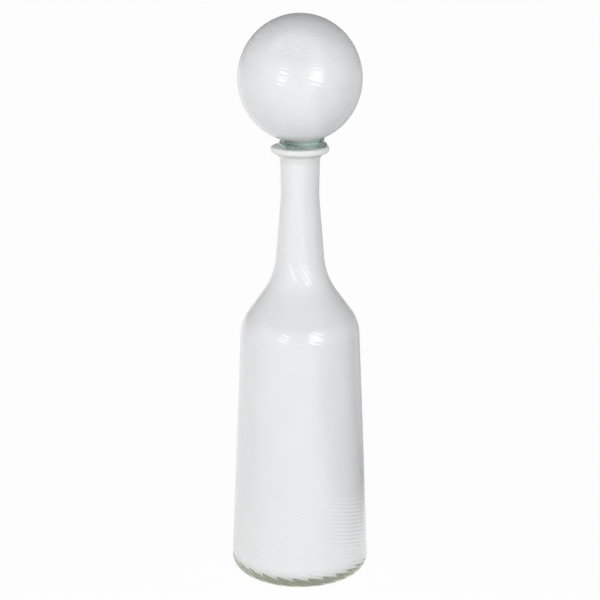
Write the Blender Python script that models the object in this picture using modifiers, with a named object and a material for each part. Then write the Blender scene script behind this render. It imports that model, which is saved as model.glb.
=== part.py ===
"""Ball stopper bottle: a tall cased-glass bottle with a hollow glass ball for a stopper.

Metres, +Z up. The origin is the centre of the foot ring, on the surface that the bottle stands on.
Every piece is turned: its half section is drawn in the XZ plane and swept round Z.
"""

import math

import bpy

# Bottle, outside. The corners of the side are joined by straight lines and then rounded.
BASE_RADIUS = 0.0669
HEEL_ROUNDING = 0.0100
BODY_HEIGHT = 0.2489
SHOULDER_RADIUS = 0.0562
SHOULDER_ROUNDING = 0.0340
SHOULDER_RISE = 0.0442
NECK_ROOT_RADIUS = 0.0243
NECK_ROOT_ROUNDING = 0.0600
NECK_TAPER_LENGTH = 0.0789
NECK_RADIUS = 0.0178
NECK_WAIST_ROUNDING = 0.0500
NECK_FLARE_LENGTH = 0.0328
NECK_END_RADIUS = 0.0184

# Foot, pushed up in the middle, with the ground-off mark of the iron at its centre
FOOT_RING_WIDTH = 0.0100
PUNT_DEPTH = 0.0060
PUNT_EDGE_ROUNDING = 0.0040
PONTIL_RADIUS = 0.0110

# Glass layers of the bottle
CASING_WALL = 0.0020
LINING_WALL = 0.0014
BASE_THICKNESS = 0.0075
INNER_HEEL_ROUNDING = 0.0120
FLOOR_RISE = 0.0045
FLOOR_RISE_RADIUS = 0.0300

# Lip, laid round the end of the neck and flared
LIP_RADIUS = 0.0268
LIP_HEIGHT = 0.0130
LIP_THICKNESS = 0.0046
LIP_ROOT_RADIUS = 0.0197
LIP_ROOT_HEIGHT = 0.0047
LIP_ROOT_ROUNDING = 0.0042
LIP_THROAT_ROUNDING = 0.0040
LIP_RIM_ROUNDING = 0.0019
LIP_MOUTH_FLARE = 0.0016
LIP_MOUTH_ROUNDING = 0.0020

# Ball of the stopper, a little taller than it is wide
GLOBE_RADIUS = 0.0573
GLOBE_HALF_HEIGHT = 0.0589
GLOBE_BOTTOM_ABOVE_LIP = 0.0040
GLOBE_CASING_WALL = 0.0019
GLOBE_LINING_WALL = 0.0012
LINING_NECK_RADIUS = 0.0100
LINING_NECK_WALL = 0.0014

# Collar between the ball and the lip: a short band with a bead under it
COLLAR_BAND_RADIUS = 0.0198
COLLAR_WAIST_RADIUS = 0.0193
COLLAR_BEAD_RADIUS = 0.0222
COLLAR_BEAD_THICKNESS = 0.0034
COLLAR_BEAD_ROUNDING = 0.0014

# Peg that hangs in the neck, hollow and open below
PEG_LENGTH = 0.0400
PEG_SIDE_CLEARANCE = 0.0013
PEG_TAPER = 0.0017
PEG_BORE_RADIUS = 0.0080
PEG_END_ROUNDING = 0.0014
PEG_SHOULDER_ROUNDING = 0.0008

# Gap between two pieces that touch on the real object
SEAM_GAP = 0.0003

# Heights that follow from the lengths above
NECK_ROOT_HEIGHT = BODY_HEIGHT + SHOULDER_RISE
NECK_WAIST_HEIGHT = NECK_ROOT_HEIGHT + NECK_TAPER_LENGTH
NECK_END_HEIGHT = NECK_WAIST_HEIGHT + NECK_FLARE_LENGTH
LIP_TOP_HEIGHT = NECK_END_HEIGHT + LIP_HEIGHT
GLOBE_CENTRE_HEIGHT = LIP_TOP_HEIGHT + GLOBE_BOTTOM_ABOVE_LIP + GLOBE_HALF_HEIGHT

# Fineness of the turned shapes
ROUND_STEPS = 36
ARC_STEP = math.radians(12)
SMALL_ARC_STEP = math.radians(30)
SMALL_ROUNDING = 0.0050
WELD_DISTANCE = 0.00001
SHARP_ANGLE = math.radians(40)


# Outlines

def line_crossing(line_a, line_b):
    """The point where two lines meet, each given by two of its points."""
    (ax, ay), (bx, by) = line_a
    (cx, cy), (dx, dy) = line_b
    across = (bx - ax) * (dy - cy) - (by - ay) * (dx - cx)
    along = ((cx - ax) * (dy - cy) - (cy - ay) * (dx - cx)) / across
    return ax + (bx - ax) * along, ay + (by - ay) * along


def shifted_line(start, end, distance):
    """The rising line from start to end, moved towards the axis."""
    run, rise = end[0] - start[0], end[1] - start[1]
    length = math.hypot(run, rise)
    shift_r, shift_z = -rise / length * distance, run / length * distance
    return (
        (start[0] + shift_r, start[1] + shift_z),
        (end[0] + shift_r, end[1] + shift_z),
    )


def arc_points(centre, radius, start, turn):
    """Points on an arc, ends included. A small rounding takes wider steps."""
    step = SMALL_ARC_STEP if radius < SMALL_ROUNDING else ARC_STEP
    count = max(1, math.ceil(round(abs(turn) / step, 3)))
    angles = [start + turn * i / count for i in range(count + 1)]
    return [
        (centre[0] + radius * math.cos(a), centre[1] + radius * math.sin(a))
        for a in angles
    ]


def rounded(corners):
    """The outline through corners, each (radius, height, rounding)."""
    points = [corners[0][:2]]
    for before, corner, after in zip(corners, corners[1:], corners[2:]):
        r, z, rounding = corner
        if rounding == 0:
            points.append((r, z))
            continue
        back = math.atan2(before[1] - z, before[0] - r)
        ahead = math.atan2(after[1] - z, after[0] - r)
        opening = (ahead - back + math.pi) % (2 * math.pi) - math.pi
        half = opening / 2
        reach = rounding / abs(math.sin(half))
        middle = back + half
        centre = (r + reach * math.cos(middle), z + reach * math.sin(middle))
        first = back - math.copysign(math.pi / 2, opening)
        turn = -math.copysign(math.pi - abs(opening), opening)
        points += arc_points(centre, rounding, first, turn)
    points.append(corners[-1][:2])
    return points


def side_corners(depth, floor, heel_rounding):
    """The bottle's side at a depth inside its outer face, from a floor height up to the neck's end."""
    outer = [
        (BASE_RADIUS, 0),
        (SHOULDER_RADIUS, BODY_HEIGHT),
        (NECK_ROOT_RADIUS, NECK_ROOT_HEIGHT),
        (NECK_RADIUS, NECK_WAIST_HEIGHT),
        (NECK_END_RADIUS, NECK_END_HEIGHT),
    ]
    lines = [shifted_line(a, b, depth) for a, b in zip(outer, outer[1:])]
    level = ((0, floor), (BASE_RADIUS, floor))
    heel = line_crossing(lines[0], level)
    shoulder = line_crossing(lines[0], lines[1])
    root = line_crossing(lines[1], lines[2])
    waist = line_crossing(lines[2], lines[3])
    end = line_crossing(lines[3], ((0, NECK_END_HEIGHT), (BASE_RADIUS, NECK_END_HEIGHT)))
    return [
        (*heel, heel_rounding),
        (*shoulder, SHOULDER_ROUNDING - depth),
        (*root, NECK_ROOT_ROUNDING + depth),
        (*waist, NECK_WAIST_ROUNDING + depth),
        (*end, 0),
    ]


def inner_side(depth, floor):
    """A wall face inside the bottle, from the middle of its raised floor up to the neck's end."""
    corners = side_corners(depth, floor, INNER_HEEL_ROUNDING)
    rise = [(0, floor + FLOOR_RISE, 0), (FLOOR_RISE_RADIUS, floor, FLOOR_RISE_RADIUS)]
    return rounded(rise + corners)


def globe_points(depth, hole_radius):
    """The ball's outline at a depth inside its outer face, from its top down to the hole below."""
    wide, tall = GLOBE_RADIUS - depth, GLOBE_HALF_HEIGHT - depth
    last = math.acos(hole_radius / wide)
    sweep = math.pi / 2 + last
    count = math.ceil(sweep / ARC_STEP)
    angles = [math.pi / 2 - sweep * i / count for i in range(count + 1)]
    points = [(wide * math.cos(a), GLOBE_CENTRE_HEIGHT + tall * math.sin(a)) for a in angles]
    points[0] = (0, GLOBE_CENTRE_HEIGHT + tall)
    return points


def split_outline(points, level):
    """Cuts a rising outline at a height. Both of its parts end there."""
    for i, (below, above) in enumerate(zip(points, points[1:])):
        if below[1] < level <= above[1]:
            share = (level - below[1]) / (above[1] - below[1])
            cut = (below[0] + (above[0] - below[0]) * share, level)
            upper = [point for point in points[i + 1:] if point[1] > level]
            return points[:i + 1] + [cut], [cut] + upper


# Places that several pieces share

def globe_underside(radius):
    """Height of the ball's outer face at a distance from the axis, below its middle."""
    drop = GLOBE_HALF_HEIGHT * math.sqrt(1 - (radius / GLOBE_RADIUS) ** 2)
    return GLOBE_CENTRE_HEIGHT - drop


def lining_depth():
    return CASING_WALL + SEAM_GAP


def bore_radius(outer):
    """Radius inside the two layers of the bottle, from the radius outside them."""
    return outer - lining_depth() - LINING_WALL


def collar_bore():
    """Radius of the hole through the ball's outer gather and the collar, round the lining's neck."""
    return LINING_NECK_RADIUS + SEAM_GAP


# Building blocks

def clear_scene():
    for thing in list(bpy.data.objects):
        bpy.data.objects.remove(thing, do_unlink=True)


def new_collection(name):
    group = bpy.data.collections.new(name)
    bpy.context.scene.collection.children.link(group)
    return group


def glass(name, colour, roughness, transmission):
    """A glass of its own colour. Transmission is 1 for clear glass and 0 for opal."""
    made = bpy.data.materials.new(name)
    made.use_nodes = True
    made.diffuse_color = (*colour, 1)
    shader = made.node_tree.nodes["Principled BSDF"]
    shader.inputs["Base Color"].default_value = (*colour, 1)
    shader.inputs["Metallic"].default_value = 0
    shader.inputs["Roughness"].default_value = roughness
    shader.inputs["Transmission Weight"].default_value = transmission
    return made


def turned(name, outline, closed, material, group, carrier=None):
    """Sweeps an outline round Z. It runs down its outer side and up its inner side."""
    origin = carrier.location.z if carrier else 0
    verts = [(r, 0, z - origin) for r, z in outline]
    edges = [(i, i + 1) for i in range(len(verts) - 1)]
    if closed:
        edges.append((len(verts) - 1, 0))
    mesh = bpy.data.meshes.new(name)
    mesh.from_pydata(verts, edges, [])
    mesh.materials.append(material)
    piece = bpy.data.objects.new(name, mesh)
    group.objects.link(piece)
    piece.parent = carrier
    screw = piece.modifiers.new("Turn", "SCREW")
    screw.axis = "Z"
    screw.angle = 2 * math.pi
    screw.steps = ROUND_STEPS
    screw.render_steps = ROUND_STEPS
    screw.use_merge_vertices = True
    screw.merge_threshold = WELD_DISTANCE
    screw.use_smooth_shade = True
    mesh.set_sharp_from_angle(angle=SHARP_ANGLE)
    return piece


# Bottle

def casing_faces():
    """The inner and outer faces of the whole casing, both from the axis up to the neck's end."""
    ring_inner = BASE_RADIUS - HEEL_ROUNDING - FOOT_RING_WIDTH
    foot = [
        (0, PUNT_DEPTH, 0),
        (PONTIL_RADIUS, PUNT_DEPTH, PUNT_EDGE_ROUNDING),
        (ring_inner, 0, PUNT_EDGE_ROUNDING),
    ]
    outside = rounded(foot + side_corners(0, 0, HEEL_ROUNDING))
    return inner_side(CASING_WALL, BASE_THICKNESS), outside


def bottle_casing(group):
    """Outer gather of faintly green clear glass, thick in the foot, up to the root of the neck."""
    inside, outside = casing_faces()
    inside = split_outline(inside, NECK_ROOT_HEIGHT)[0]
    outside = split_outline(outside, NECK_ROOT_HEIGHT)[0]
    outline = inside + list(reversed(outside))
    colour = glass("clear_green_casing_glass", (0.80, 0.85, 0.79), 0.05, 1)
    return turned("bottle_casing", outline, False, colour, group)


def neck_casing(group):
    """The same gather drawn out into the neck, from its root to the lip."""
    inside, outside = casing_faces()
    foot = NECK_ROOT_HEIGHT + SEAM_GAP
    inside = split_outline(inside, foot)[1]
    outside = split_outline(outside, foot)[1]
    outline = inside + list(reversed(outside))
    colour = glass("clear_green_neck_glass", (0.83, 0.87, 0.83), 0.05, 1)
    return turned("neck_casing", outline, True, colour, group)


def bottle_lining(group):
    """Inner layer of white opal glass."""
    depth = lining_depth()
    floor = BASE_THICKNESS + SEAM_GAP
    inside = inner_side(depth + LINING_WALL, floor + LINING_WALL)
    outside = list(reversed(inner_side(depth, floor)))
    colour = glass("white_opal_lining_glass", (0.90, 0.91, 0.92), 0.10, 0)
    return turned("bottle_lining", inside + outside, False, colour, group)


def lip_ring(group):
    """White flared lip. The stopper's collar rests on its top face."""
    bore = bore_radius(NECK_END_RADIUS)
    foot = NECK_END_HEIGHT + SEAM_GAP
    mouth = bore + LIP_MOUTH_FLARE
    corners = [
        (bore, foot, 0),
        (bore, LIP_TOP_HEIGHT - LIP_THICKNESS, LIP_THROAT_ROUNDING),
        (mouth, LIP_TOP_HEIGHT, LIP_MOUTH_ROUNDING),
        (LIP_RADIUS, LIP_TOP_HEIGHT, LIP_RIM_ROUNDING),
        (LIP_RADIUS, LIP_TOP_HEIGHT - LIP_THICKNESS, LIP_RIM_ROUNDING),
        (LIP_ROOT_RADIUS, foot + LIP_ROOT_HEIGHT, LIP_ROOT_ROUNDING),
        (NECK_END_RADIUS, foot, 0),
    ]
    colour = glass("white_lip_glass", (0.91, 0.92, 0.92), 0.08, 0)
    return turned("lip_ring", rounded(corners), True, colour, group)


# Stopper

def stopper_globe(group, carrier):
    """Outer gather of the hollow ball."""
    outside = globe_points(0, collar_bore())
    inside = list(reversed(globe_points(GLOBE_CASING_WALL, collar_bore())))
    colour = glass("clear_globe_glass", (0.86, 0.89, 0.87), 0.05, 1)
    return turned("stopper_globe", outside + inside, False, colour, group, carrier)


def globe_lining(group, carrier):
    """White opal layer inside the ball. Its neck runs down through the collar."""
    depth = GLOBE_CASING_WALL + SEAM_GAP
    foot = LIP_TOP_HEIGHT + SEAM_GAP
    bore = LINING_NECK_RADIUS - LINING_NECK_WALL
    outside = globe_points(depth, LINING_NECK_RADIUS) + [(LINING_NECK_RADIUS, foot)]
    inside = [(bore, foot)] + list(reversed(globe_points(depth + GLOBE_LINING_WALL, bore)))
    colour = glass("white_globe_lining_glass", (0.88, 0.89, 0.90), 0.10, 0)
    return turned("globe_lining", outside + inside, False, colour, group, carrier)


def stopper_collar(group, carrier):
    """Clear green band and bead. Its top follows the ball, and its foot rests on the lip."""
    seat = LIP_TOP_HEIGHT + SEAM_GAP
    bead_top = seat + COLLAR_BEAD_THICKNESS
    bore = collar_bore()
    stations = 4
    step = (COLLAR_BAND_RADIUS - bore) / stations
    radii = [bore + step * i for i in range(stations + 1)]
    top = [(r, globe_underside(r) - SEAM_GAP, 0) for r in radii]
    side = [
        (COLLAR_WAIST_RADIUS, bead_top, 0),
        (COLLAR_BEAD_RADIUS, bead_top, COLLAR_BEAD_ROUNDING),
        (COLLAR_BEAD_RADIUS, seat, COLLAR_BEAD_ROUNDING),
        (bore, seat, 0),
    ]
    colour = glass("green_collar_glass", (0.42, 0.56, 0.49), 0.06, 1)
    outline = rounded(top + side)
    return turned("stopper_collar", outline, True, colour, group, carrier)


def stopper_peg(group, carrier):
    """Tapered peg that hangs in the neck. Its bore opens the ball to the bottle."""
    top = LIP_TOP_HEIGHT
    bottom = top - PEG_LENGTH
    radius = bore_radius(NECK_RADIUS) - PEG_SIDE_CLEARANCE
    corners = [
        (PEG_BORE_RADIUS, top, 0),
        (radius, top, PEG_SHOULDER_ROUNDING),
        (radius - PEG_TAPER, bottom, PEG_END_ROUNDING),
        (PEG_BORE_RADIUS, bottom, PEG_END_ROUNDING),
        (PEG_BORE_RADIUS, top, 0),
    ]
    outline = rounded(corners)[:-1]
    colour = glass("green_peg_glass", (0.50, 0.62, 0.55), 0.12, 1)
    return turned("stopper_peg", outline, True, colour, group, carrier)


def main():
    clear_scene()
    group = new_collection("ball_stopper_bottle")
    bottle_casing(group)
    neck_casing(group)
    bottle_lining(group)
    lip_ring(group)
    carrier = bpy.data.objects.new("stopper_axis", None)
    carrier.location = (0, 0, LIP_TOP_HEIGHT)
    group.objects.link(carrier)
    stopper_globe(group, carrier)
    globe_lining(group, carrier)
    stopper_collar(group, carrier)
    stopper_peg(group, carrier)


main()
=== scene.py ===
# %% [markdown]
# # A ball stopper bottle in cased glass
#
# A tall bottle, blown by hand in two layers: white opal glass inside, and clear, faintly green glass over it.
# Its stopper is a hollow ball made the same way. The ball sits on a collar of green glass, the collar rests on
# the bottle's flared lip, and a peg under it hangs in the neck.
#
# The solids are loaded first, as a fixed frame. Each piece is then turned again on the same sizes, finer
# than the solids, with what the solids leave out: the spiral ribs of the mould, the hand-pressed collar, and the
# fused layers of glass.

import math

import bmesh
import bpy
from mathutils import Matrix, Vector
from numpy import interp


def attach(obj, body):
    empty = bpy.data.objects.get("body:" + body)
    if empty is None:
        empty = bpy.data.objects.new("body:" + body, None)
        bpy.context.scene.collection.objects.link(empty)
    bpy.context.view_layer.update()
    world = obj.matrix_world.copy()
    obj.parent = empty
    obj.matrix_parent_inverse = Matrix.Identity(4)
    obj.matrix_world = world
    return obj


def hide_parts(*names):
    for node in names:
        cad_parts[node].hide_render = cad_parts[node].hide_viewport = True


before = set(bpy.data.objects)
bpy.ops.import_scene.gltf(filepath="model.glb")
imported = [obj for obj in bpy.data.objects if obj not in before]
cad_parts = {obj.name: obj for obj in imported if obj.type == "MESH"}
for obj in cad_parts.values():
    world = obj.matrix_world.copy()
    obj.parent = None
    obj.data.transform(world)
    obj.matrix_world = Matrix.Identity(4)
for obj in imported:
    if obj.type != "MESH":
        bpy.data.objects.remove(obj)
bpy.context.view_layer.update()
print("solids:", ", ".join(sorted(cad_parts)))

# %% [markdown]
# ## Drawing a half section
#
# Blown glass is round, so each piece is a half section swept round the bottle's axis. The section could be a
# curve object, or a long list of points. Here it is a wire through a few corners, and the bevel tool rounds each
# corner to its radius, because corners and roundings are what a maker measures.

# %% A wire through rounded corners
MM = 0.001
ARC_STEP = math.radians(6)
FEWEST_SEGMENTS = 3
SLACK = 0.01


def round_corner(wire, point, rounding):
    """Bevels one point of a wire into an arc of that radius."""
    before, after = [edge.other_vert(point).co - point.co for edge in point.link_edges]
    turn = math.pi - before.angle(after)
    bmesh.ops.bevel(wire, geom=[point], offset=rounding * math.tan(turn / 2), offset_type="OFFSET",
                    affect="VERTICES", segments=max(FEWEST_SEGMENTS, round(turn / ARC_STEP)),
                    profile=0.5, material=-1, clamp_overlap=False)


def draw_section(wire, corners, longest, closed=False):
    """Adds a wire in the XZ plane through corners of (radius, height, rounding) in mm, cut to a longest edge."""
    points = [wire.verts.new((radius * MM, 0, height * MM)) for radius, height, rounding in corners]
    edges = [wire.edges.new(pair) for pair in zip(points, points[1:])]
    if closed:
        edges.append(wire.edges.new((points[-1], points[0])))
    for point, corner in zip(points, corners):
        if corner[2]:
            round_corner(wire, point, corner[2] * MM)
    for edge in wire.edges[:]:
        cuts = math.ceil(edge.calc_length() / (longest * MM) - SLACK) - 1
        if cuts > 0:
            bmesh.ops.subdivide_edges(wire, edges=[edge], cuts=cuts)


def loose_ends(wire):
    """The ends of wires that don't lie on the axis."""
    return [point for point in wire.verts if len(point.link_edges) == 1 and point.co.x > MM]


# %% [markdown]
# A wall of glass has two faces a fixed depth apart. Scaling the outer section would make the wall thin where it
# leans. Instead every line of the section steps in by the depth, as on a drawing board, and the roundings grow
# or shrink to match.

# %% The same section at a depth under its face
def step_in(corners, depth):
    """Moves a section that runs upwards towards the axis. Its two ends keep their height."""
    places = [Vector(corner[:2]) for corner in corners]
    inward = [Vector((a.y - b.y, b.x - a.x)).normalized() for a, b in zip(places, places[1:])]
    first = (places[0].x + depth / inward[0].x, places[0].y, corners[0][2])
    last = (places[-1].x + depth / inward[-1].x, places[-1].y, corners[-1][2])
    between = []
    for before, after, place, corner in zip(inward, inward[1:], places[1:], corners[1:]):
        moved = place + depth * (before + after) / (1 + before.dot(after))
        between.append((*moved, corner[2] - math.copysign(depth, before.cross(after))))
    return [first] + between + [last]


# %% [markdown]
# ## Turning a section into a ribbed wall
#
# A bubble of hot glass is blown into a mould with upright flutes. Then it is drawn out and twisted, so that the
# flutes become a fine left-handed spiral. A bump map could fake it, but the ribs also show in the outline of the
# foot and cut up the highlights, so they are real. The steps follow the glassblower's: the section is spun
# through one rib, that slice is copied all round, the furrows between the ribs are sunk, and the whole is
# twisted.

# %% Spin one slice, copy it round, sink the furrows, twist
AXIS = (0, 0, 1)
CENTRE = (0, 0, 0)
WELD = 0.002 * MM


def new_wire():
    """An empty mesh whose points can carry the depth of the furrows there."""
    wire = bmesh.new()
    wire.verts.layers.float.new("furrow")
    return wire


def spin_round(wire, slices, columns):
    """Spins a section through one slice of the circle, and copies that slice all round."""
    slice_angle = 2 * math.pi / slices
    bmesh.ops.spin(wire, geom=wire.verts[:] + wire.edges[:], cent=CENTRE, axis=AXIS, angle=slice_angle,
                   steps=columns, use_merge=False, use_duplicate=False)
    bmesh.ops.spin(wire, geom=wire.verts[:] + wire.edges[:] + wire.faces[:], cent=CENTRE, axis=AXIS,
                   angle=slice_angle * (slices - 1), steps=slices - 1, use_merge=False, use_duplicate=True)
    bmesh.ops.remove_doubles(wire, verts=wire.verts, dist=WELD)
    bmesh.ops.recalc_face_normals(wire, faces=wire.faces)
    wire.normal_update()


PLAIN_SLICES = 24


def rib_and_twist(solid, ribs, turn_at):
    """Sinks the furrows into the outer face and turns that face. The inner face carries no furrows and stays."""
    furrow = solid.verts.layers.float["furrow"]
    for point in [point for point in solid.verts if point[furrow]]:
        share = math.atan2(point.co.y, point.co.x) * ribs / (2 * math.pi) % 1
        sunk = point.co - point.normal * point[furrow] * MM * (2 * share - 1) ** 2
        turn = 2 * math.pi * turn_at(point.co.z / MM)
        point.co.x = sunk.x * math.cos(turn) - sunk.y * math.sin(turn)
        point.co.y = sunk.x * math.sin(turn) + sunk.y * math.cos(turn)
        point.co.z = sunk.z


def finish_piece(solid, name, body, nodes, materials):
    """Makes a smooth piece that rides on a body and stands for solids of the frame."""
    mesh = bpy.data.meshes.new(name)
    solid.to_mesh(mesh)
    solid.free()
    mesh.shade_smooth()
    for material in materials:
        mesh.materials.append(material)
    piece = bpy.data.objects.new(name, mesh)
    bpy.context.scene.collection.objects.link(piece)
    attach(piece, body)
    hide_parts(*nodes)
    size = " x ".join(str(round(side / MM, 1)) for side in piece.dimensions)
    print(f"{name}: {len(mesh.polygons)} faces, {size} mm")
    return piece


# %% [markdown]
# ## Materials
#
# Every finish is a small graph of nodes. Colours are written in sRGB hex, as a paint program shows them, and
# turned to the linear values that the renderer works in.

# %% Colours and nodes
def linear(hex_colour):
    """An sRGB colour such as #8FB8A6, as linear red, green, blue and alpha."""
    channels = [int(hex_colour[i:i + 2], 16) / 255 for i in (1, 3, 5)]
    return (*(c / 12.92 if c <= 0.04045 else ((c + 0.055) / 1.055) ** 2.4 for c in channels), 1)


def add_node(tree, kind, inputs=None, **settings):
    """Adds a node. Each input is a value, or another node's output to link, by socket name or number."""
    node = tree.nodes.new(kind)
    for name, value in settings.items():
        setattr(node, name, value)
    for name, value in (inputs or {}).items():
        if isinstance(value, bpy.types.NodeSocket):
            tree.links.new(value, node.inputs[name])
        else:
            node.inputs[name].default_value = value
    return node


def new_material(name):
    """A material with an empty graph, and that graph."""
    material = bpy.data.materials.new(name)
    material.use_nodes = True
    material.node_tree.nodes.clear()
    return material, material.node_tree


# %% [markdown]
# ### Clear blown glass
#
# Soda-lime glass: index of refraction 1.5, no colour of its own at the surface, and a faint green from iron that
# only thick glass shows. So the tint is a volume that soaks up light, not a surface colour. Blown glass cools
# with a fire-polished skin that is glossy but not quite flat, which is a very shallow bump about 14 mm wide.
#
# Seen straight on, the skin is a coat over glass that blurs what shows through it. Only plain white opal lies
# behind, so the blur hides nothing, and the renderer's noise filter then keeps the reflections in the ribs, which
# it smears on perfectly clear glass. The heel has no opal behind it and stays clear, down to the foot, which is
# dulled where it has stood and been slid about.
#
# A lamp's light is let straight through the surface. The renderer would otherwise have to find its way through
# two bent surfaces by chance, and the white layer behind the glass would be dark and grainy.

# %% Clear glass
GLASS_INDEX = 1.5
RIPPLE_WIDTH = 14 * MM
RIPPLE_HEIGHT = 0.012 * MM
CLEAR_HEIGHT = 10 * MM
CLEAR_ROUGHNESS = 0.02
WORN_HEIGHT = 1 * MM
WORN_ROUGHNESS = 0.4


def clear_glass(name, tint, density, blur, skin):
    """Clear glass with a tint in its depth. Blur is the roughness of what shows through, skin that of the gloss."""
    material, tree = new_material(name)
    place = add_node(tree, "ShaderNodeTexCoord").outputs["Object"]
    ripple = add_node(tree, "ShaderNodeTexNoise", {"Vector": place, "Scale": 1 / RIPPLE_WIDTH, "Detail": 1.0})
    bump = add_node(tree, "ShaderNodeBump", {"Height": ripple.outputs[0], "Strength": 1.0,
                                             "Distance": RIPPLE_HEIGHT})
    height = add_node(tree, "ShaderNodeSeparateXYZ", {0: place}).outputs["Z"]
    depth_blur = add_node(tree, "ShaderNodeMapRange", {
        "Value": height, "From Min": CLEAR_HEIGHT, "From Max": 2 * CLEAR_HEIGHT,
        "To Min": CLEAR_ROUGHNESS, "To Max": blur})
    wear = add_node(tree, "ShaderNodeMapRange", {"Value": height, "From Min": WORN_HEIGHT / 2,
                                                 "From Max": WORN_HEIGHT, "To Min": WORN_ROUGHNESS, "To Max": 0.0})
    roughness = add_node(tree, "ShaderNodeMath", {0: depth_blur.outputs[0], 1: wear.outputs[0]},
                         operation="MAXIMUM")
    glass = add_node(tree, "ShaderNodeBsdfPrincipled", {
        "Base Color": (1, 1, 1, 1), "Roughness": roughness.outputs[0], "IOR": GLASS_INDEX,
        "Specular IOR Level": 0.0, "Transmission Weight": 1.0, "Normal": bump.outputs[0],
        "Coat Weight": 1.0, "Coat Roughness": skin, "Coat IOR": GLASS_INDEX, "Coat Normal": bump.outputs[0]})
    path = add_node(tree, "ShaderNodeLightPath")
    lighting = add_node(tree, "ShaderNodeMath", {0: path.outputs["Is Shadow Ray"], 1: path.outputs["Is Diffuse Ray"]},
                        operation="MAXIMUM")
    straight = add_node(tree, "ShaderNodeBsdfTransparent")
    surface = add_node(tree, "ShaderNodeMixShader", {0: lighting.outputs[0], 1: glass.outputs[0],
                                                     2: straight.outputs[0]})
    depth = add_node(tree, "ShaderNodeVolumeAbsorption", {"Color": linear(tint), "Density": density})
    add_node(tree, "ShaderNodeOutputMaterial", {"Surface": surface.outputs[0], "Volume": depth.outputs[0]})
    return material


casing_glass = clear_glass("clear_blown_soda_lime_glass", tint="#DFF1A0", density=9, blur=0.3, skin=0.02)
ball_glass = clear_glass("clear_blown_ball_glass", tint="#D3E2C4", density=5, blur=0.3, skin=0.02)
collar_glass = clear_glass("bottle_green_collar_glass", tint="#9FDDC0", density=28, blur=0.02, skin=0.02)
peg_glass = clear_glass("lightly_ground_green_peg_glass", tint="#9FDDC0", density=24, blur=0.2, skin=0.16)
print("clear glasses:", casing_glass.name, ball_glass.name, collar_glass.name, peg_glass.name)

# %% [markdown]
# ### White opal glass
#
# Opal glass is made white by fine crystals, so it scatters light all through, and looks like thin porcelain. The
# white is never quite even: it was drawn out with the bubble, so it has faint milky streaks along the bottle.
# Where it is fused to clear glass there is no air between them and so no gloss. A free face is fire-polished.
#
# A Mix node has a set of sockets for each kind of value: 2 and 3 take numbers, 6 and 7 take colours, and the
# mixed colour comes out of output 2.

# %% Opal glass
STREAK_WIDTH = 9 * MM
STREAK_STRETCH = 6


def opal_glass(name, milk, streak, roughness, gloss):
    """White glass with faint streaks. Gloss is 0 where the face is fused to clear glass."""
    material, tree = new_material(name)
    place = add_node(tree, "ShaderNodeTexCoord").outputs["Object"]
    drawn = add_node(tree, "ShaderNodeMapping", {"Vector": place, "Scale": (1, 1, 1 / STREAK_STRETCH)})
    streaks = add_node(tree, "ShaderNodeTexNoise", {"Vector": drawn.outputs[0], "Scale": 1 / STREAK_WIDTH,
                                                    "Detail": 2.0})
    colour = add_node(tree, "ShaderNodeMix", {0: streaks.outputs[0], 6: linear(milk), 7: linear(streak)},
                      data_type="RGBA")
    opal = add_node(tree, "ShaderNodeBsdfPrincipled", {
        "Base Color": colour.outputs[2], "Roughness": roughness, "IOR": GLASS_INDEX, "Specular IOR Level": gloss})
    add_node(tree, "ShaderNodeOutputMaterial", {"Surface": opal.outputs[0]})
    return material


fused_opal = opal_glass("white_opal_glass_fused_to_the_casing", milk="#F8F9FC", streak="#EEEFF3",
                        roughness=1.0, gloss=0.0)
free_opal = opal_glass("fire_polished_white_opal_glass", milk="#F4F5F7", streak="#EEEFF2",
                       roughness=0.08, gloss=0.5)
lip_glass = opal_glass("fire_polished_white_lip_glass", milk="#F3F5F4", streak="#EDF0EF",
                       roughness=0.06, gloss=0.5)
print("opal glasses:", fused_opal.name, free_opal.name, lip_glass.name)

# %% [markdown]
# ## The bottle's outer glass
#
# The outer gather runs from the thick foot up the side, which is five corners, and on under the lip, so that no
# seam shows on the neck. Its inner face follows the side 2 mm in and ends in a raised floor, 7.5 mm above the
# table, and its foot is a ring round a shallow push-up, so that the bottle doesn't rock on the rough spot where
# the iron was broken off.

# %% Sizes of the side
SIDE = [
    (66.9, 0, 10),
    (56.2, 248.9, 34),
    (24.3, 293.1, 60),
    (17.8, 372.0, 50),
    (18.4, 404.8, 0),
]
UNDER_LIP = [(19.4, 408.4, 3), (21.0, 410.2, 2), (24.5, 412.0, 0)]
FOOT = [(0, 6, 0), (11, 6, 4), (46.9, 0, 4)]
CASING_WALL = 2.0
FLOOR = 7.5
FLOOR_RISE = 4.5
RISE_RADIUS = 30
RISE_ROUNDING = 30
INNER_HEEL_ROUNDING = 12


def inner_face(side, depth, floor):
    """A face inside the bottle at a depth under its side, from the middle of its raised floor up."""
    side_at_floor = interp(floor, (side[0][1], side[1][1]), (side[0][0], side[1][0]))
    rise = [(0, floor + FLOOR_RISE, 0), (RISE_RADIUS, floor, RISE_ROUNDING)]
    return rise + step_in([(side_at_floor, floor, INNER_HEEL_ROUNDING)] + side[1:], depth)


print("inner face at the shoulder:", [round(v, 1) for v in inner_face(SIDE, CASING_WALL, FLOOR)[3]])

# %% [markdown]
# Twenty-eight ribs, deepest at the heel, where the glass was still thick and barely drawn, and almost gone in
# the neck, which was reheated and pulled thin. They stand out again at the two bends of the shoulder. They wind
# nearly three times round on the way down from the neck. The outer face gets rows of 1.5 mm, which the ribs
# need. Rows of 10 mm are enough inside.

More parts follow.
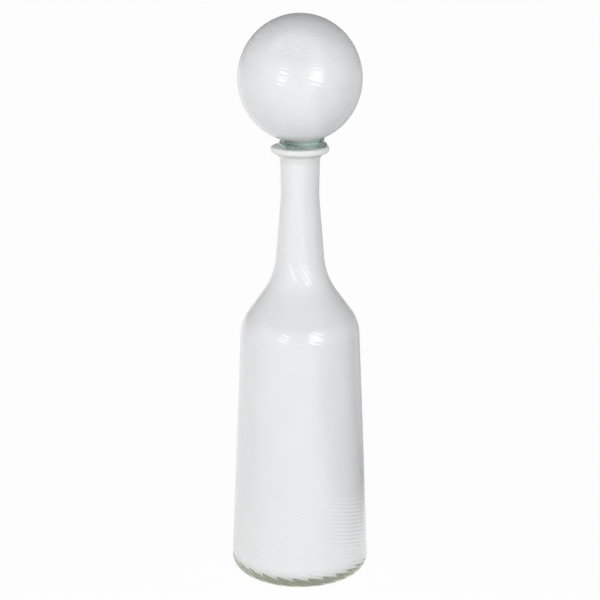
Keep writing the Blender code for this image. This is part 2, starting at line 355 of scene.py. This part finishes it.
# %% The ribbed casing
RIBS = 28
COLUMNS = 8
ROW = 1.5
INNER_ROW = 10
FURROW_HEIGHTS = (0, 4, 12, 28, 70, 100, 220, 235, 250, 262, 288, 298, 322, 345, 412)
FURROW_DEPTHS = (0.15, 0.34, 0.50, 0.28, 0.18, 0.05, 0.05, 0.14, 0.14, 0.02, 0.03, 0.28, 0.32, 0.03, 0.01)
TWIST_HEIGHTS = (0, 8, 230, 270, 310, 405)
TWIST_TURNS = (2.863, 2.817, 0.799, 0.464, 0.252, 0)


def bottle_turn(height):
    """Turns of the outer face at a height, counted down from the neck's end."""
    return interp(height, TWIST_HEIGHTS, TWIST_TURNS)


casing = new_wire()
draw_section(casing, FOOT + SIDE + UNDER_LIP, ROW)
furrow = casing.verts.layers.float["furrow"]
for point in casing.verts:
    point[furrow] = interp(point.co.z / MM, FURROW_HEIGHTS, FURROW_DEPTHS)
draw_section(casing, inner_face(SIDE + UNDER_LIP, CASING_WALL, FLOOR), INNER_ROW)
casing.edges.new(loose_ends(casing))
spin_round(casing, RIBS, COLUMNS)
rib_and_twist(casing, RIBS, bottle_turn)
finish_piece(casing, "ribbed_casing", "bottle", ["bottle_casing", "neck_casing"],
             [casing_glass])

# %% [markdown]
# ## The white lining
#
# On the real bottle the two layers are one wall. Two solids that only touch would leave a film of air, which
# shows as a mirror. So the lining's outer face reaches 0.05 mm into the clear glass, and its inner face is a
# free one that gets its own gloss.

# %% The opal lining
FUSED = 0.05
LINING_WALL = 1.7
LINING_COLUMNS = 4
FACES_UP = 0.9


def gloss_free_faces(piece, is_free):
    """Gives the second material to the faces that a test picks."""
    for face in piece.data.polygons:
        face.material_index = int(is_free(face))


lining = new_wire()
draw_section(lining, inner_face(SIDE, CASING_WALL - FUSED, FLOOR - FUSED), INNER_ROW)
draw_section(lining, inner_face(SIDE, CASING_WALL + LINING_WALL, FLOOR + LINING_WALL), INNER_ROW)
lining.edges.new(loose_ends(lining))
spin_round(lining, RIBS, LINING_COLUMNS)
opal_lining = finish_piece(lining, "opal_lining", "bottle", ["bottle_lining"],
                           [fused_opal, free_opal])
gloss_free_faces(opal_lining, lambda face: face.normal.xy.dot(face.center.xy) < 0 or face.normal.z > FACES_UP)

# %% [markdown]
# ## The lip
#
# A flat-topped rim, opened out with jacks while the bottle turned. Its white glass starts inside the clear neck
# and turns out over the end of it. Hand work is never quite round, so the rim waves by a third of a millimetre.
# A few sine waves round the axis give that without any random numbers.

# %% Hand-made waves
def wave(place, waves):
    """The sum of a few waves round the axis at a place. Each is (count round, height in mm, start angle)."""
    angle = math.atan2(place.y, place.x)
    return sum(height * math.sin(count * angle + start) for count, height, start in waves)


LIP_TOP = 417.8
ROOT = step_in([SIDE[-1]] + UNDER_LIP, CASING_WALL - FUSED)
LIP = [(14.7, 404.7, 0), (14.7, 413.2, 4), (16.3, LIP_TOP, 2), (26.8, LIP_TOP, 1.9), (26.8, 413.2, 1.9),
       (UNDER_LIP[-1][0] - FUSED, UNDER_LIP[-1][1] - FUSED, 0)] + ROOT[::-1]
RIM_START = 19
LIP_WAVES = [(1, 0.15, 0.4), (2, 0.25, 1.9), (3, 0.12, 4.0)]

lip = new_wire()
draw_section(lip, LIP, longest=1, closed=True)
spin_round(lip, PLAIN_SLICES, columns=6)
for point in lip.verts:
    radius = point.co.xy.length / MM
    share = interp(radius, (RIM_START, LIP[3][0]), (0, 1))
    point.co.xy *= 1 + share * wave(point.co, LIP_WAVES) / radius
finish_piece(lip, "tooled_lip", "bottle", ["lip_ring"], [lip_glass])

# %% [markdown]
# ## The ball
#
# The stopper's ball is a second bubble, blown in a mould with finer flutes. Its section is one point, spun about
# the ball's centre from the pole down to the opening, and stretched a little, because a hanging bubble of soft
# glass is taller than it is wide.

# %% Section of the ball
BALL_RADIUS = 57.3
BALL_HALF_HEIGHT = 58.9
BALL_CENTRE = 480.7
BALL_FLOOR = BALL_CENTRE - BALL_HALF_HEIGHT


def draw_ball_section(wire, depth, hole, step):
    """Adds the ball's arc at a depth under its face, from the pole to a hole, in steps of some degrees."""
    drawn = len(wire.verts)
    radius = BALL_RADIUS - depth
    pole = wire.verts.new((0, 0, radius * MM))
    sweep = math.pi / 2 + math.acos(hole / radius)
    bmesh.ops.spin(wire, geom=[pole], cent=CENTRE, axis=(0, 1, 0), angle=sweep,
                   steps=round(sweep / math.radians(step)))
    arc = wire.verts[:][drawn:]
    bmesh.ops.scale(wire, verts=arc, vec=(1, 1, (BALL_HALF_HEIGHT - depth) / radius))
    bmesh.ops.translate(wire, verts=arc, vec=(0, 0, BALL_CENTRE * MM))


# %% [markdown]
# The ball was twisted as well, one rib every 4.6 mm of height and every 2.8 mm near the top, where the furrows
# are also deeper, because the bubble was nearest the mould's end there. Its arc has a point every half degree
# outside and every four degrees inside.

# %% The ribbed ball
BALL_RIBS = 22
BALL_WALL = 1.9
BALL_HOLE = 7.5
FINE_STEP = 0.5
MIDDLE_STEP = 2
COARSE_STEP = 4
BALL_FURROW_HEIGHTS = (450, BALL_CENTRE, 500, 530)
BALL_FURROW_DEPTHS = (0.04, 0.13, 0.18, 0.30)
BALL_TWIST_HEIGHTS = (BALL_FLOOR, 496, 539.6)
BALL_TWIST_TURNS = (0, -0.735, -1.436)


def ball_turn(height):
    """Turns of the ball's outer face at a height, counted up from its opening."""
    return interp(height, BALL_TWIST_HEIGHTS, BALL_TWIST_TURNS)


ball = new_wire()
draw_ball_section(ball, 0, BALL_HOLE, FINE_STEP)
furrow = ball.verts.layers.float["furrow"]
for point in ball.verts:
    point[furrow] = interp(point.co.z / MM, BALL_FURROW_HEIGHTS, BALL_FURROW_DEPTHS)
draw_ball_section(ball, BALL_WALL, BALL_HOLE, COARSE_STEP)
ball.edges.new(loose_ends(ball))
spin_round(ball, BALL_RIBS, COLUMNS)
rib_and_twist(ball, BALL_RIBS, ball_turn)
finish_piece(ball, "ribbed_ball", "stopper", ["stopper_globe"], [ball_glass])

# %% [markdown]
# ## The ball's lining and its neck
#
# The white layer narrows to a short neck that runs down inside the collar. Round clear glass magnifies what is
# in it by half again, so this neck is what makes the middle of the collar look pale. The neck was joined by
# hand, 2.2 mm to one side.

# %% The lining of the ball
BALL_LINING_WALL = 1.5
NECK_RADIUS = 10.0
NECK_WALL = 1.4
NECK_MARGIN = 0.5
COLLAR_FOOT = 418.1
SIDEWAYS = Vector((2.2 * MM, 0, 0))

core = new_wire()
draw_ball_section(core, BALL_WALL - FUSED, NECK_RADIUS, MIDDLE_STEP)
draw_ball_section(core, BALL_WALL + BALL_LINING_WALL, NECK_RADIUS - NECK_WALL, COARSE_STEP)
bmesh.ops.extrude_vert_indiv(core, verts=loose_ends(core))
for point in loose_ends(core):
    point.co.z = COLLAR_FOOT * MM
core.edges.new(loose_ends(core))
spin_round(core, PLAIN_SLICES, columns=6)
neck_points = [point for point in core.verts
               if point.co.xy.length < (NECK_RADIUS + NECK_MARGIN) * MM and point.co.z < BALL_CENTRE * MM]
bmesh.ops.translate(core, verts=neck_points, vec=SIDEWAYS)
finish_piece(core, "ball_lining", "stopper", ["globe_lining"], [fused_opal])

# %% [markdown]
# ## The collar
#
# A thick thread of green glass was wound round the joint, with a bead at its foot, and pressed with a tool while
# it was soft. Its section is turned first. Then the waist between band and bead is pushed up or down round the
# ring, the outside swells and thins, and the top is fitted to the ball again at its new place.

# %% The collar, turned and then worked by hand
def under_ball(radius):
    """Height of the ball's outer face at a distance from the axis, below its middle, in mm."""
    return BALL_CENTRE - BALL_HALF_HEIGHT * math.sqrt(1 - (radius / BALL_RADIUS) ** 2)


OVERLAP = 0.1
COLLAR = [
    (NECK_RADIUS - FUSED, under_ball(NECK_RADIUS - FUSED) + OVERLAP, 0),
    (15, under_ball(15) + OVERLAP, 0),
    (20.0, under_ball(20) + OVERLAP, 0),
    (19.0, 421.8, 1.2),
    (22.1, 421.6, 1.6),
    (22.1, COLLAR_FOOT, 1.5),
    (NECK_RADIUS - FUSED, COLLAR_FOOT, 0),
]
OUTSIDE_START = 15
OUTSIDE_END = 19
WAIST_WAVES = [(1, 0.22, -1.5), (2, 0.05, 0.6), (3, 0.03, 2.0)]
SWELL_WAVES = [(1, 0.35, 1.5), (2, 0.25, 0.9), (3, 0.3, 2.2), (5, 0.15, 0.5)]

collar = new_wire()
draw_section(collar, COLLAR, longest=0.5, closed=True)
spin_round(collar, PLAIN_SLICES, columns=8)
for point in collar.verts:
    radius = point.co.xy.length / MM
    share = (point.co.z / MM - COLLAR_FOOT) / (under_ball(radius) + OVERLAP - COLLAR_FOOT)
    outside = interp(radius, (OUTSIDE_START, OUTSIDE_END), (0, 1))
    share += 4 * share * (1 - share) * outside * wave(point.co, WAIST_WAVES)
    point.co.xy *= 1 + outside * wave(point.co, SWELL_WAVES) / radius
    point.co += SIDEWAYS
    top = under_ball(point.co.xy.length / MM) + OVERLAP
    point.co.z = (COLLAR_FOOT + share * (top - COLLAR_FOOT)) * MM
finish_piece(collar, "wound_collar", "stopper", ["stopper_collar"], [collar_glass])

# %% [markdown]
# ## The peg
#
# The peg keeps the stopper in the neck. It is a short tapered tube of the same green glass, lightly ground so
# that it slides in without sticking, which leaves it faintly frosted.

# %% The ground peg
PEG = [(8, COLLAR_FOOT + OVERLAP, 0), (12.8, COLLAR_FOOT + OVERLAP, 0.8), (11.1, 377.8, 1.4), (8, 377.8, 1.4)]

peg = new_wire()
draw_section(peg, PEG, longest=1.5, closed=True)
spin_round(peg, PLAIN_SLICES, columns=4)
finish_piece(peg, "ground_peg", "stopper", ["stopper_peg"], [peg_glass])

# %% [markdown]
# ## The studio
#
# The photograph was taken on a white sheet that fills the view. A white floor lit like the object would have to
# be overlit to turn out white. So, through Light Path, the floor is mostly plain white where the camera sees it
# directly or through clear glass, and part of it stays a matt sheet that catches the bottle's shadow. Reflections
# see most of that white. It fades out in a wedge to the right, where the photograph's reflections are dark,
# and comes back at half strength behind that wedge, because the bottle's right rims are bright again.
#
# A clear foot also gathers light from all round and passes it on under the bottle. Light that goes straight
# through the glass misses that, so right under the foot the sheet glows a little towards the bottle: a painted
# pool of light that lightens the heel.

# %% The floor
FLOOR_SIZE = 15
PAPER_DULL = 0.89
PAPER_BRIGHT = 0.91
GRAIN = 400
SEEN_WHITE = 0.97
MIRRORED_WHITE = 0.95
GLOW_START = 0.10
GLOW_END = 0.30
GLOW_BEYOND = 0.1
FOOT_GLOW = 0.1
TOWARDS = Vector((0.95, 0.3, 0))
BACK = Vector((-0.5, 0.87, 0))
BACK_START = 0.0
BACK_END = 0.15
BACK_GLOW = 0.5

floor_material, tree = new_material("matt_white_sheet")
path = add_node(tree, "ShaderNodeLightPath")
seen = add_node(tree, "ShaderNodeMath", {0: path.outputs["Is Camera Ray"], 1: path.outputs["Is Transmission Ray"]},
                operation="MAXIMUM")
seen_share = add_node(tree, "ShaderNodeMath", {0: seen.outputs[0], 1: SEEN_WHITE}, operation="MULTIPLY")
mirrored_share = add_node(tree, "ShaderNodeMath", {0: path.outputs["Is Glossy Ray"], 1: MIRRORED_WHITE},
                          operation="MULTIPLY")
share = add_node(tree, "ShaderNodeMath", {0: seen_share.outputs[0], 1: mirrored_share.outputs[0]},
                 operation="MAXIMUM")
place = add_node(tree, "ShaderNodeTexCoord").outputs["Object"]
radius = add_node(tree, "ShaderNodeVectorMath", {0: place}, operation="LENGTH")
# Under the foot the sheet glows for light bounced off the bottle: painted light on the heel, not a lamp.
under = add_node(tree, "ShaderNodeMath", {0: radius.outputs["Value"], 1: SIDE[0][0] * MM}, operation="LESS_THAN")
painted_glow_under_foot = add_node(tree, "ShaderNodeMath", {0: under.outputs[0], 1: path.outputs["Is Diffuse Ray"]},
                    operation="MULTIPLY")
share = add_node(tree, "ShaderNodeMath", {0: painted_glow_under_foot.outputs[0], 1: FOOT_GLOW, 2: share.outputs[0]},
                 operation="MULTIPLY_ADD")
reach = add_node(tree, "ShaderNodeVectorMath", {0: place, 1: TOWARDS}, operation="DOT_PRODUCT")
fade = add_node(tree, "ShaderNodeMapRange", {"Value": reach.outputs["Value"], "From Min": GLOW_START,
                                             "From Max": GLOW_END, "To Min": 1.0, "To Max": GLOW_BEYOND},
                interpolation_type="SMOOTHSTEP")
back_reach = add_node(tree, "ShaderNodeVectorMath", {0: place, 1: BACK}, operation="DOT_PRODUCT")
back = add_node(tree, "ShaderNodeMapRange", {"Value": back_reach.outputs["Value"], "From Min": BACK_START,
                                             "From Max": BACK_END, "To Max": BACK_GLOW},
                interpolation_type="SMOOTHSTEP")
glowing = add_node(tree, "ShaderNodeMath", {0: fade.outputs[0], 1: back.outputs[0]}, operation="MAXIMUM")
level = add_node(tree, "ShaderNodeMath", {0: seen.outputs[0], 1: glowing.outputs[0]}, operation="MAXIMUM")
grain = add_node(tree, "ShaderNodeTexNoise", {"Vector": place, "Scale": GRAIN})
paper = add_node(tree, "ShaderNodeMapRange", {"Value": grain.outputs[0], "To Min": PAPER_DULL,
                                              "To Max": PAPER_BRIGHT})
matt = add_node(tree, "ShaderNodeBsdfDiffuse", {"Color": paper.outputs[0]})
glow = add_node(tree, "ShaderNodeEmission", {"Strength": level.outputs[0]})
mix = add_node(tree, "ShaderNodeMixShader", {0: share.outputs[0], 1: matt.outputs[0], 2: glow.outputs[0]})
add_node(tree, "ShaderNodeOutputMaterial", {"Surface": mix.outputs[0]})

sheet = bmesh.new()
bmesh.ops.create_grid(sheet, x_segments=2, y_segments=2, size=FLOOR_SIZE)
floor_mesh = bpy.data.meshes.new("floor")
sheet.to_mesh(floor_mesh)
sheet.free()
floor_mesh.materials.append(floor_material)
floor = bpy.data.objects.new("floor", floor_mesh)
bpy.context.scene.collection.objects.link(floor)
print("floor:", 2 * FLOOR_SIZE, "m wide")

# %% [markdown]
# The room round the bottle is a soft, pale studio. Each side has one level as a light and another in reflections,
# because a studio's lamps are small: they light a whole side of the bottle, and fill little of its reflections.
# The room is dim overhead. The camera sees plain white, directly and through clear glass.

# %% The room
LIGHT_FROM = {-90: 0.68, -45: 1.06, 45: 1.05, 90: 0.20, 180: 0.40}
REFLECTION_FROM = {-90: 0.6, -45: 0.4, 45: 0.35, 90: 0.1, 135: 0.1, 180: 0.2}
LIGHT_ABOVE = 0.08
REFLECTION_ABOVE = 0.3
SIDE_EDGE = 0.1
DARK_FROM = 0.35
DARK_TO = 0.85

room = bpy.data.worlds.new("studio")
room.use_nodes = True
bpy.context.scene.world = room
tree = room.node_tree
tree.nodes.clear()
ray = add_node(tree, "ShaderNodeTexCoord").outputs["Generated"]


def add_sides(tree, levels):
    """Adds up the levels of the room's sides. Azimuths are counted from the camera to the right, in degrees."""
    total = 0.0
    for azimuth, level in levels.items():
        towards = (math.sin(math.radians(azimuth)), -math.cos(math.radians(azimuth)), 0)
        facing = add_node(tree, "ShaderNodeVectorMath", {0: ray, 1: towards}, operation="DOT_PRODUCT")
        side = add_node(tree, "ShaderNodeMapRange", {"Value": facing.outputs["Value"], "From Min": SIDE_EDGE,
                                                     "From Max": 1.0, "To Min": 0.0, "To Max": level},
                        interpolation_type="SMOOTHSTEP")
        total = add_node(tree, "ShaderNodeMath", {0: side.outputs[0], 1: total}, operation="ADD").outputs[0]
    return total


path = add_node(tree, "ShaderNodeLightPath")
sides = add_node(tree, "ShaderNodeMix", {0: path.outputs["Is Glossy Ray"], 2: add_sides(tree, LIGHT_FROM),
                                         3: add_sides(tree, REFLECTION_FROM)}, data_type="FLOAT")
height = add_node(tree, "ShaderNodeSeparateXYZ", {0: ray}).outputs["Z"]
below = add_node(tree, "ShaderNodeMapRange", {"Value": height, "From Min": DARK_FROM, "From Max": DARK_TO,
                                              "To Min": 1.0, "To Max": 0.0}, interpolation_type="SMOOTHSTEP")
above = add_node(tree, "ShaderNodeMix", {0: path.outputs["Is Glossy Ray"], 2: LIGHT_ABOVE, 3: REFLECTION_ABOVE},
                 data_type="FLOAT")
level = add_node(tree, "ShaderNodeMix", {0: below.outputs[0], 2: above.outputs[0], 3: sides.outputs[0]},
                 data_type="FLOAT")
studio = add_node(tree, "ShaderNodeBackground", {"Color": (1, 1, 1, 1), "Strength": level.outputs[0]})
white = add_node(tree, "ShaderNodeBackground", {"Color": (1, 1, 1, 1), "Strength": 1.0})
seen = add_node(tree, "ShaderNodeMath", {0: path.outputs["Is Camera Ray"], 1: path.outputs["Is Transmission Ray"]},
                operation="MAXIMUM")
mix = add_node(tree, "ShaderNodeMixShader", {0: seen.outputs[0], 1: studio.outputs[0], 2: white.outputs[0]})
add_node(tree, "ShaderNodeOutputWorld", {"Surface": mix.outputs[0]})
print("sides of the room:", len(LIGHT_FROM))

# %% [markdown]
# Two softboxes stand in front of the bottle, a large one to the right and a small one to the left. Their places
# follow from the two highlights on the ball: a round mirror shows each lamp halfway between it and the camera.
# A strip lamp hangs close above the ball. It only shows in reflections, where the ribs cut it into bright lines.

# %% Softboxes
BALL_MIDDLE = Vector((0, 0, BALL_CENTRE * MM))


def softbox(name, azimuth, distance, height, width, tall, power):
    """A rectangular lamp, turned to face the ball. Its azimuth is counted from the camera to the right."""
    lamp = bpy.data.lights.new(name, "AREA")
    lamp.shape = "RECTANGLE"
    lamp.size = width
    lamp.size_y = tall
    lamp.energy = power
    stand = bpy.data.objects.new(name, lamp)
    angle = math.radians(azimuth)
    stand.location = (distance * math.sin(angle), -distance * math.cos(angle), height)
    stand.rotation_euler = (BALL_MIDDLE - stand.location).to_track_quat("-Z", "Y").to_euler()
    bpy.context.scene.collection.objects.link(stand)
    print(f"{name}: {width} x {tall} m, {power} W")
    return stand


softbox("softbox_right", azimuth=31, distance=1.5, height=0.725, width=0.62, tall=0.68, power=4.3)
softbox("softbox_left", azimuth=-31.6, distance=1.5, height=0.67, width=0.45, tall=0.32, power=1.7)
strip = softbox("strip_overhead", azimuth=-15, distance=0.14, height=0.94, width=0.8, tall=0.13, power=0.65)
strip.visible_diffuse = False

# %% [markdown]
# The camera stands a metre and a half away, a little above the ball, and looks down at 16 degrees. How round the
# foot, the lip and the collar look in the photograph gives the height and the distance together.

# %% The camera
FRAME_PIXELS = 600
FOCAL_PIXELS = 1703
SENSOR_WIDTH = 36
CAMERA_PLACE = (0, -1.55, 0.72)
LOOKS_DOWN = 16.2

lens = bpy.data.cameras.new("camera")
lens.sensor_width = SENSOR_WIDTH
lens.lens = SENSOR_WIDTH * FOCAL_PIXELS / FRAME_PIXELS
camera = bpy.data.objects.new("camera", lens)
camera.location = CAMERA_PLACE
camera.rotation_euler = (math.radians(90 - LOOKS_DOWN), 0, 0)
bpy.context.scene.collection.objects.link(camera)
bpy.context.scene.camera = camera
bpy.context.scene.view_settings.view_transform = "Standard"
print("lens:", round(lens.lens, 1), "mm")
